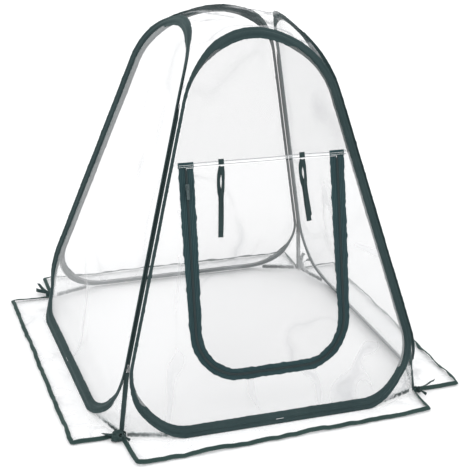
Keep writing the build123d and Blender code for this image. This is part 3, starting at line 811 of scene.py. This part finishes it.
# ---- Door film ----
# The door is one piece of the same vinyl, sewn to the inner half of the zip on three sides and
# hanging from the seam across the front.
door_edge, _ = zip_line(door_top, 0.004, -0.008)
door_low = evenly(door_edge, 150)
door_high = evenly(door_edge[[0, -1]], 150)
door_sheet = spread_film("door_sheet", door_low, door_high, 90, "front", slack=0.0024, seed=22.0)
# The door film's veil tone of 0.40 is painted shade over the vinyl's pale haze.
door_vinyl = vinyl("door_vinyl", 0.26, 0.30, 4.4, 0.40, stretch=(0.8, 1, 1), turn=(0, 0.9, 0),
    veil_and_shade_tone=0.40)
door_sheet.data.materials.append(door_vinyl)
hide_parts("door_film")
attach(door_sheet, "door")

# ---- Ribbons that tie the rolled-up door ----
# Two flat ribbons are sewn in at the seam, each folded in half and hanging down the outside of
# the door; the fold stands a little open near the top.
ribbon_green = cloth("woven_ribbon", (0.013, 0.028, 0.029), (0.045, 0.070, 0.070), 0.006,
    threads=400.0, inset=0.0007, bump=0.4)
thread_white = bpy.data.materials.new("white_thread")
thread_white.use_nodes = True
thread_tree = thread_white.node_tree
twist_lines = add_node(thread_tree, "ShaderNodeTexWave", {"Scale": 600.0, "Distortion": 1.0},
    {"Vector": add_node(thread_tree, "ShaderNodeTexCoord").outputs["Object"]})
thread_tone = add_node(thread_tree, "ShaderNodeValToRGB", links={"Fac": twist_lines.outputs["Fac"]})
thread_tone.color_ramp.elements[0].color = (0.62, 0.66, 0.66, 1)
thread_tone.color_ramp.elements[1].color = (0.86, 0.88, 0.88, 1)
thread_tree.links.new(thread_tone.outputs["Color"],
    thread_tree.nodes["Principled BSDF"].inputs["Base Color"])
thread_tree.nodes["Principled BSDF"].inputs["Roughness"].default_value = 0.6


def smooth_line(points, step):
    """A smooth line through a few points, with points an even step apart."""
    knots = np.asarray(points, float)
    padded_knots = np.concatenate([2 * knots[:1] - knots[1:2], knots,
        2 * knots[-1:] - knots[-2:-1]])
    pieces = []
    for a, b, c, d in zip(padded_knots, padded_knots[1:], padded_knots[2:], padded_knots[3:]):
        t = np.linspace(0, 1, 24, endpoint=False)[:, None]
        pieces.append(0.5 * (2 * b + (c - a) * t + (2 * a - 5 * b + 4 * c - d) * t**2 + (3 * b - a - 3 * c + d) * t**3))
    dense = np.concatenate(pieces + [knots[-1:]])
    return evenly(dense, max(8, int(distance_along(dense)[-1] / step)))


def lay_ribbon(name, line, facing, width, thick, twist=0.0, taper=None):
    """A flat ribbon along a line; facing is the way that its flat side looks."""
    along = distance_along(line)
    forward = np.gradient(line, axis=0)
    forward /= np.linalg.norm(forward, axis=1)[:, None]
    facing = np.broadcast_to(np.asarray(facing, float), line.shape)
    sideways = np.cross(forward, facing)
    sideways /= np.linalg.norm(sideways, axis=1)[:, None]
    flat = np.cross(sideways, forward)
    twist = np.broadcast_to(twist, len(line))[:, None]
    side = sideways * np.cos(twist) + flat * np.sin(twist)
    face = flat * np.cos(twist) - sideways * np.sin(twist)
    section = np.array([(-1, -0.6), (-1, 0.6), (-0.6, 1), (0, 0.8), (0.6, 1), (1, 0.6), (1, -0.6),
        (0.6, -1), (0, -0.8), (-0.6, -1)])
    v, w = section.T * [[width / 2], [thick / 2]]
    scale = np.ones(len(line)) if taper is None else taper
    points = line[:, None] + side[:, None] * (v[None] * scale[:, None])[..., None] + face[:,
        None] * w[None, :, None]
    return sew_band(name, points, along, v)


def join_pieces(first, *others):
    """Makes several meshes one piece."""
    for piece in bpy.context.view_layer.objects:
        piece.select_set(piece in (first, *others))
    bpy.context.view_layer.objects.active = first
    bpy.ops.object.join()
    first.select_set(False)
    return first


def stitch_row(name, start, end, count, out, thick=0.0008):
    """A row of short white stitches on the front wall, as one piece."""
    start, end = np.asarray(start, float), np.asarray(end, float)
    stitches = []
    for k in range(count):
        first = start + (end - start) * (k + 0.12) / count
        last = start + (end - start) * (k + 0.88) / count
        spots = evenly(np.array([first, (first + last) / 2, last]), 5)
        rise = out + np.array([-0.0002, 0.0002, 0.0003, 0.0002, -0.0002])
        line = on_wall("front", spots[:, 0], spots[:, 1], rise)
        stitches.append(lay_ribbon(f"{name}_{k}", line, (0, -cos(lean), sin(lean)), thick, thick))
    row = join_pieces(*stitches)
    row.name = name
    row.data.materials.append(thread_white)
    return row


for middle, tie_name, body, drop, sway in (
    (-0.0975, "door_tie_left", "tie_left", 0.152, -0.010),
    (0.0890, "door_tie_right", "tie_right", 0.136, 0.010),
):
    top = door_top - 0.0012
    layers = []
    for layer, bow in ((0, -1), (1, 1)):
        share = np.array([0, 0.05, 0.13, 0.24, 0.36, 0.46, 0.75, 1.0])
        spread = np.array([0.4, 3.0, 6.6, 7.6, 5.0, 1.6, 0.8,
            0.6]) / 1000 * (bow if bow < 0 else 0.35)
        length = drop - 0.012 * layer
        across = middle + sway * share**1.3 + spread
        height = top - length * share * cos(lean)
        out = np.array([1.2, 1.4, 2.4, 2.6, 2.2, 1.6, 1.3, 1.2]) / 1000 + 0.0011 * layer
        line = smooth_line(on_wall("front", across, height, out), 0.0016)
        turn_by = 0.5 * bow * np.sin(np.linspace(0, 1, len(line)) * pi) ** 2
        narrow = 1 - 0.40 * np.exp(-((np.linspace(0, 1, len(line)) - 0.22) / 0.14) ** 2)
        layers.append(lay_ribbon(f"{tie_name}_layer_{layer}", line, (0, -cos(lean), sin(lean)),
            0.0115, 0.0007, turn_by, narrow))
    tie = join_pieces(*layers)
    tie.name = f"{tie_name}_ribbon"
    tie.data.materials.append(ribbon_green)
    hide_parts(tie_name)
    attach(tie, body)
    stub_line = smooth_line(on_wall("front", [middle, middle, middle],
        [seam_height - 0.0042, seam_height, seam_height + 0.008], [0.0016, 0.0014, 0.0008]), 0.0012)
    stub = lay_ribbon(f"{tie_name}_stub", stub_line, (0, -cos(lean), sin(lean)), 0.0125, 0.0007)
    stub.data.materials.append(ribbon_green)
    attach(stub, "front_wall")
    row = stitch_row(f"{tie_name}_stitches", (middle - 0.0060, seam_height - 0.0035),
        (middle + 0.0060, seam_height - 0.0035), 6, 0.0026, 0.0006)
    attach(row, "front_wall")

for side, label in ((-1, "left"), (1, "right")):
    middle = -zip_half_width if side < 0 else zip_half_width - right_pull
    fold_height = np.linspace(door_top + 0.0008, seam_height + 0.0065, 9)
    fold_out = np.array([14, 15, 15, 15, 14, 13, 12, 10, 6]) / 10000
    fold_line = on_wall("front", np.full(9, middle), fold_height, fold_out)
    fold = lay_ribbon(f"zip_{label}_folded_top", fold_line, (0, -cos(lean), sin(lean)), 0.0345,
        0.0011)
    fold.data.materials.append(zip_green)
    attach(fold, "front_wall")
    for row_number, drop in ((0, -0.0008), (1, 0.0028)):
        row_height = seam_height - drop
        row = stitch_row(f"zip_{label}_stitches_{row_number}", (middle - 0.0158, row_height),
            (middle + 0.0158, row_height), 9, 0.0021, 0.0007)
        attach(row, "front_wall")

# ---- Corner seams ----
# At each corner the two walls are hinged by sewing: a narrow tape runs up the gussets from the
# ground, and above them the two sleeves are joined by a rolled thread-covered seam.
seam_green = cloth("corner_tape", (0.015, 0.030, 0.031), (0.050, 0.078, 0.076), 0.005,
    threads=360.0, inset=0.0012, bump=0.4)
corners = {"front_left": "front", "back_left": "left", "back_right": "back", "front_right": "right"}
corner_bodies = {
    "front_left": ("left_wall", "front_wall"),
    "back_left": ("left_wall", "back_wall"),
    "back_right": ("back_wall", "right_wall"),
    "front_right": ("front_wall", None),
}
meet_height = base_centre_z + (hoop_base_radius + half_sleeve) * sin(lean)


def corner_reach(height):
    """How far out along X and Y the sewn corner line is at a height."""
    low = base_width / 2 + (wall_section(meet_height)[0] - base_width / 2) * height / meet_height
    return np.where(height < meet_height, low, wall_section(height)[0])


for order, (corner, wall) in enumerate(corners.items()):
    near, far = corner_bodies[corner]
    height = np.linspace(0.004, 0.146, 110)
    reach = corner_reach(height) + 0.0012
    line = turned(np.stack([-reach, -reach, height], -1), wall)
    facing = turned(np.array([[-1.0, -1.0, 0.2]]), wall)[0]
    sway = ripple(height, 40 + order, (0.05, 0.16), (0.02, 0.08))
    tape = lay_ribbon(f"{corner}_gusset_tape", line, facing, 0.0115, 0.0014, sway)
    high = np.linspace(0.122, crown_start, 260)
    reach = corner_reach(high) - 0.0028
    roll_line = turned(np.stack([-reach, -reach, high], -1), wall)
    ends = np.clip((high[-1] - high) / 0.03, 0.1, 1)
    roll = lay_ribbon(f"{corner}_roll", roll_line, facing, 0.0052, 0.0024, 0.0, ends)
    seam_piece = join_pieces(tape, roll)
    seam_piece.name = f"{corner}_sewn_seam"
    seam_piece.data.materials.append(seam_green)
    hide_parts(f"{corner}_corner_seam")
    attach(seam_piece, near)

# ---- Corner gussets ----
# Below the hoops' round lower corners, clear vinyl gussets close the wall down to the ground.
# Each reaches from the curve of a hoop to the corner tape and is slightly crumpled.
gusset_vinyl = vinyl("gusset_vinyl", 0.14, 0.6, 14.0, 0.55, sharpness=18.0)
neighbours = {"front": ("left", "right"), "left": ("back", "front"), "back": ("right", "left"),
    "right": ("front", "back")}
sewn_to_neighbour = {("front", "left"), ("back", "left"), ("right", "back")}
for order, wall in enumerate(wall_names):
    for side, neighbour in zip((-1, 1), neighbours[wall]):
        angles = np.linspace(-pi / 2 + 0.12, lean, 44)
        radius = hoop_base_radius + half_sleeve - 0.002
        across = side * (base_centre_x + radius * np.cos(angles))
        height = np.maximum(base_centre_z + radius * np.sin(angles), 0.0008)
        reach, _ = wall_section(height)
        hoop_side = np.stack([across, -reach, height], -1)
        tape_height = np.linspace(0.001, meet_height, 44)
        tape_reach = corner_reach(tape_height) - 0.0004
        tape_side = np.stack([side * tape_reach, -tape_reach, tape_height], -1)
        share = np.linspace(0, 1, 26)[:, None, None]
        grid = hoop_side[None] * (1 - share) + tape_side[None] * share
        for i, j in np.ndindex(grid.shape[:2]):
            loose = min(1.0, 8 * share[i, 0, 0] * (1 - share[i, 0, 0]))
            bump = noise.noise(Vector(grid[i, j]) * 30 + Vector((order * 5, side * 3, 0)))
            grid[i, j, 1] += (abs(bump) - 0.1) * 0.005 * loose
        gusset = lay_sheet(f"{wall}_gusset_film_{neighbour}", turned(grid, wall))
        gusset.data.materials.append(gusset_vinyl)
        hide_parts(f"{wall}_gusset_at_{neighbour}")
        if (wall, neighbour) in sewn_to_neighbour:
            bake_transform(gusset)
        else:
            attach(gusset, f"{wall}_wall")

# ---- Hem tapes ----
# From each ground corner a gathered tape runs along the bottom of the gusset to the hoop.
# The second colour here is near white, so the rubbed edges and pale patches on this tape are painted glints.
hem_green = cloth("hem_tape_weave", (0.010, 0.018, 0.019), (0.85, 0.90, 0.90), 0.0045,
    threads=330.0, inset=0.0009, bump=0.9)


def foot_clearance(height):
    """How far past the hoop's flat foot the sleeve's edge first rises above a height."""
    radius = hoop_base_radius + half_sleeve
    return sqrt(radius**2 - (radius - height) ** 2)


wall_base = float(wall_section(0.0)[0])
for order, wall in enumerate(wall_names):
    for side, neighbour in zip((-1, 1), neighbours[wall]):
        corner_point = np.array([side * base_width / 2, -base_width / 2])
        foot_point = np.array([side * base_centre_x, -wall_base])
        way = foot_point - corner_point
        way /= np.linalg.norm(way)
        start = corner_point + way * 0.013
        end = foot_point - way * (foot_clearance(0.0085) + 0.0012) / abs(way[0])
        share = np.linspace(0, 1, 120)[:, None]
        flat_line = start + share * (end - start)
        along = share[:, 0] * np.linalg.norm(end - start)
        gather = ripple(along, 60 + 2 * order + side, (0.016, 0.0011), (0.007, 0.0006))
        sideways = np.array([-way[1], way[0]])
        flat_line = flat_line + gather[:, None] * sideways
        height = 0.0066 + 0.0008 * np.abs(ripple(along, 80 + 2 * order + side, (0.02, 1.0)))
        line = np.column_stack([flat_line, height])
        lean_back = ripple(along, 90 + 2 * order + side, (0.02, 0.28), (0.009, 0.16))
        facing = turned(np.array([(*(-sideways * np.sign(-sideways[1])), 0.0)]), wall)[0]
        hem = lay_ribbon(f"{wall}_gathered_hem_{neighbour}", turned(line, wall), facing, 0.0112,
            0.0016, lean_back)
        hem.data.materials.append(hem_green)
        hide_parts(f"{wall}_hem_tape")
        if (wall, neighbour) in sewn_to_neighbour:
            ends = turned(line[[-1, 0]], wall)
            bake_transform(hem)
        else:
            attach(hem, f"{wall}_wall")

# ---- Ground flaps ----
# A flap of vinyl runs out along the ground from the foot of each wall, to be weighed down with
# soil or stones. Its three outer edges are bound with folded green tape, which pulls it wavy.
flap_vinyl = vinyl("flap_vinyl", 0.10, 0.55, 9.0, 0.40, sharpness=20.0, stretch=(1, 1, 3))
binding_green = cloth("folded_binding", (0.014, 0.034, 0.031), (0.050, 0.088, 0.080), 0.0045,
    threads=340.0, inset=0.0012, bump=0.5)
skirt_fold = wall_base + 0.003
flap_corners = {
    "front": ((-0.346, -0.466), (0.347, -0.440)),
    "left": ((-0.350, -0.456), (0.349, -0.459)),
    "back": ((-0.349, -0.459), (0.350, -0.459)),
    "right": ((-0.353, -0.466), (0.350, -0.459)),
}


def flap_height(across, deep, seed):
    """Height of the flap's gentle waves above the ground, growing towards its outer edge."""
    outward = np.clip((deep - skirt_fold) / 0.062, 0, 1.1)
    wave = ripple(across, seed, (0.23, 0.0032), (0.11, 0.0016))
    return 0.0007 + outward * (0.0016 + np.maximum(wave, -0.0014))


for order, wall in enumerate(wall_names):
    (left_x, left_y), (right_x, right_y) = flap_corners[wall]
    seed = 120 + order
    position = np.linspace(0, 1, 150)
    outer_x = left_x + (right_x - left_x) * position
    outer_y = left_y + (right_y - left_y) * position
    inner_x = base_width / 2 * (2 * position - 1)
    rise = np.clip((base_width / 2 - np.abs(inner_x)) / (base_width / 2 - base_centre_x - 0.038), 0,
        1)
    inner_y = -(base_width / 2 + 0.002 + (wall_base - base_width / 2) * rise)
    share = np.linspace(0, 1, 34)[:, None]
    flap_x = inner_x * (1 - share) + outer_x * share
    flap_y = inner_y * (1 - share) + outer_y * share
    height = np.stack([flap_height(row_x, -row_y, seed) for row_x, row_y in zip(flap_x, flap_y)])
    flap = lay_sheet(f"{wall}_ground_flap", turned(np.stack([flap_x, flap_y, height], -1), wall))
    flap.data.materials.append(flap_vinyl)
    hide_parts(f"{wall}_skirt_film", f"{wall}_hem_film")
    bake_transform(flap)
    corner_turn = 0.006
    knots = [
        (-base_width / 2 + 0.001, -base_width / 2 - 0.010),
        (left_x - 0.001, (left_y - base_width / 2) / 2 + 0.0),
        (left_x, left_y + corner_turn), (left_x + corner_turn * 0.35, left_y + corner_turn * 0.35),
        (left_x + corner_turn, left_y),
    ]
    for spot in np.linspace(0.08, 0.92, 12):
        knots.append((left_x + (right_x - left_x) * spot, left_y + (right_y - left_y) * spot))
    knots += [
        (right_x - corner_turn, right_y),
        (right_x - corner_turn * 0.35, right_y + corner_turn * 0.35),
        (right_x, right_y + corner_turn), (right_x + 0.001, (right_y - base_width / 2) / 2),
        (base_width / 2 - 0.001, -base_width / 2 - 0.010),
    ]
    edge_line = smooth_line(np.array(knots), 0.003)
    along = distance_along(edge_line)
    height = np.array([flap_height(np.array([x]), -y, seed)[0] for x, y in edge_line])
    outer_wave = flap_height(edge_line[:, 0], -edge_line[:, 1], seed)
    drift_in = ripple(along, seed + 30, (0.12, 0.0016), (0.045, 0.0008))
    line = np.column_stack([edge_line[:, 0], edge_line[:, 1] + np.abs(drift_in),
        outer_wave + 0.0012])
    twist = ripple(along, seed + 50, (0.13, 0.40), (0.05, 0.25)) - 0.62
    line[:, 2] += 0.0045 * np.abs(np.sin(twist))
    binding = lay_ribbon(f"{wall}_flap_binding", turned(line, wall), (0, 0, 1), 0.0098, 0.0026,
        twist)
    binding.data.materials.append(binding_green)
    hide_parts(f"{wall}_skirt_binding")
    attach(binding, f"{wall}_skirt")

# ---- Knots at the ground corners ----
# At each corner the ends of the hem and binding tapes are tied in a lumpy knot with short tails.
knot_green = cloth("knotted_tape", (0.013, 0.029, 0.029), (0.045, 0.072, 0.070), 0.005,
    threads=360.0, inset=0.0010, bump=0.6)
corner_tails = {
    "front_left": (((-14, 4, 2), (-26, 8, 3), (-33, 14, 2)),
    ((4, -12, 3), (9, -24, 5), (16, -30, 1))),
    "back_left": (((-12, -8, 3), (-28, -16, 9), (-44, -20, 12)),
    ((-6, -14, 4), (-14, -26, 4), (-26, -30, 1))),
    "back_right": (((-8, -12, 6), (-16, -24, 14), (-24, -30, 20)),
    ((-14, -4, 3), (-26, -10, 6), (-36, -12, 3))),
    "front_right": (((-12, -12, 14), (-20, -22, 26), (-28, -26, 34)),
    ((-14, 2, 3), (-26, 0, 4), (-34, -6, 1))),
}
knot_sizes = {"front_left": 1.8, "back_left": 1.1, "back_right": 1.3, "front_right": 1.0}
for order, (corner, wall) in enumerate(corners.items()):
    middle = np.array([-base_width / 2 - 0.007, -base_width / 2 - 0.007, 0.0085])
    size = knot_sizes[corner]
    dice = np.random.default_rng(150 + order)
    wraps = []
    for wrap, (tilt, swing, long_radius,
        short_radius) in enumerate(((0.2, 0.3, 9.5, 5.0), (1.1, 1.0, 8.5, 4.6),
        (-0.8, 2.0, 9.0, 4.4), (1.5, 0.1, 7.0, 5.2))):
        angles = np.linspace(0, 2 * pi, 60, endpoint=False)
        ring = np.stack([long_radius * np.cos(angles), short_radius * np.sin(angles),
            1.2 * np.sin(2 * angles + wrap)], -1) / 1000 * size
        spin = Matrix.Rotation(swing, 3, "Z") @ Matrix.Rotation(tilt, 3, "X")
        ring = ring @ np.array(spin).T
        ring[:, 2] = np.maximum(ring[:, 2], -0.0055)
        line = turned(middle + ring, wall)
        facing = ring / np.linalg.norm(ring, axis=1)[:, None]
        wraps.append(lay_ribbon(f"{corner}_wrap_{wrap}", np.concatenate([line, line[:2]]),
            turned(np.concatenate([facing, facing[:2]]), wall), 0.0068 * size + 0.001, 0.0013, 0.3))
    for number, tail in enumerate(corner_tails[corner]):
        start = np.array([(0.0, 0.0, 2.0)])
        line = smooth_line(middle + np.concatenate([start, tail]) / 1000 * (1, 1, 1), 0.0015)
        line[:, 2] = np.maximum(line[:, 2], 0.0022)
        twist = 0.5 + 0.9 * np.linspace(0, 1, len(line)) * (1 if number else -1)
        lift = 0.0035 * np.abs(np.sin(twist))
        line[:, 2] += lift
        wraps.append(lay_ribbon(f"{corner}_tail_{number}", turned(line, wall), (0, 0, 1), 0.0092,
            0.0009, twist))
    knot = join_pieces(*wraps)
    knot.name = f"{corner}_knot"
    for vertex in knot.data.vertices:
        vertex.co.z = max(vertex.co.z, 0.0002)
    knot.data.materials.append(knot_green)
    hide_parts(f"{corner}_corner_tie")
    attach(knot, corner_bodies[corner][0])

# ---- Roof ----
# The roof is one loose piece of vinyl over the four hoop tops, with a point that runs down each
# corner between two sleeves. It is made here as four quarters that meet over the middle.
# The roof's veil tone of 0.62 is painted shade over the vinyl's pale haze.
roof_vinyl = vinyl("roof_vinyl", 0.03, 0.05, 9.0, 1.5, sharpness=14.0, stretch=(0.5, 1.3, 1),
    turn=(0, 0, 0.5), falloff=3.0, veil_and_shade_tone=0.62)
arc_angles = np.linspace(lean, pi / 2, 46)
roof_radius = crown_circle + half_sleeve - 0.0005
roof_out = -0.0008
for order, (corner, wall) in enumerate(corners.items()):
    edge_across = roof_radius * np.cos(arc_angles)
    edge_height = crown_centre + roof_radius * np.sin(arc_angles)
    reach, tilt = wall_section(edge_height)
    near_side = np.stack([-edge_across, -reach - roof_out * np.cos(tilt), edge_height], -1)
    far_side = near_side[:, [1, 0, 2]]
    centre_rows = np.linspace(0, 1, 26)[1:, None]
    near_top, far_top = near_side[-1], far_side[-1]
    summit = np.array([0, 0, edge_height[-1] - 0.004])
    near_rows = near_top + centre_rows * (summit - near_top)
    far_rows = far_top + centre_rows * (summit - far_top)
    near_all, far_all = np.concatenate([near_side, near_rows]), np.concatenate([far_side, far_rows])
    share = np.linspace(0, 1, 50)[None, :, None]
    grid = near_all[:, None] * (1 - share) + far_all[:, None] * share
    loose_rows = np.concatenate([np.linspace(0, 1, 46) ** 0.5, np.ones(25)])
    for i, j in np.ndindex(grid.shape[:2]):
        s = share[0, j, 0]
        edge_free = 1.0 if i >= 46 else min(1.0, 7 * s * (1 - s))
        x, y, _ = grid[i, j]
        spot = Vector((*turned(grid[i, j][None], wall)[0],))
        crinkle = 1 - abs(noise.noise(spot * 13))
        fall = noise.noise(spot * 6)
        dip_in = 0.0045 * crinkle**7 + 0.004 * (0.5 + fall)
        near_rim = min(1.0, (min(abs(y + reach[-1]),
            abs(x + reach[-1])) + 0.004) / 0.03) if i >= 46 else edge_free * loose_rows[i]
        grid[i, j, 2] -= dip_in * near_rim
    quarter = lay_sheet(f"roof_{corner}_quarter", turned(grid, wall))
    quarter.data.materials.append(roof_vinyl)
    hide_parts("roof_film")
    near, far = corner_bodies[corner]
    if far is None:
        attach(quarter, near)
    else:
        start = turned(far_side[20:21], wall)[0]
        end = turned(near_side[20:21], wall)[0]
        if corner == "front_left":
            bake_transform(quarter)
        elif corner == "back_left":
            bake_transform(quarter)
        else:
            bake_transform(quarter)
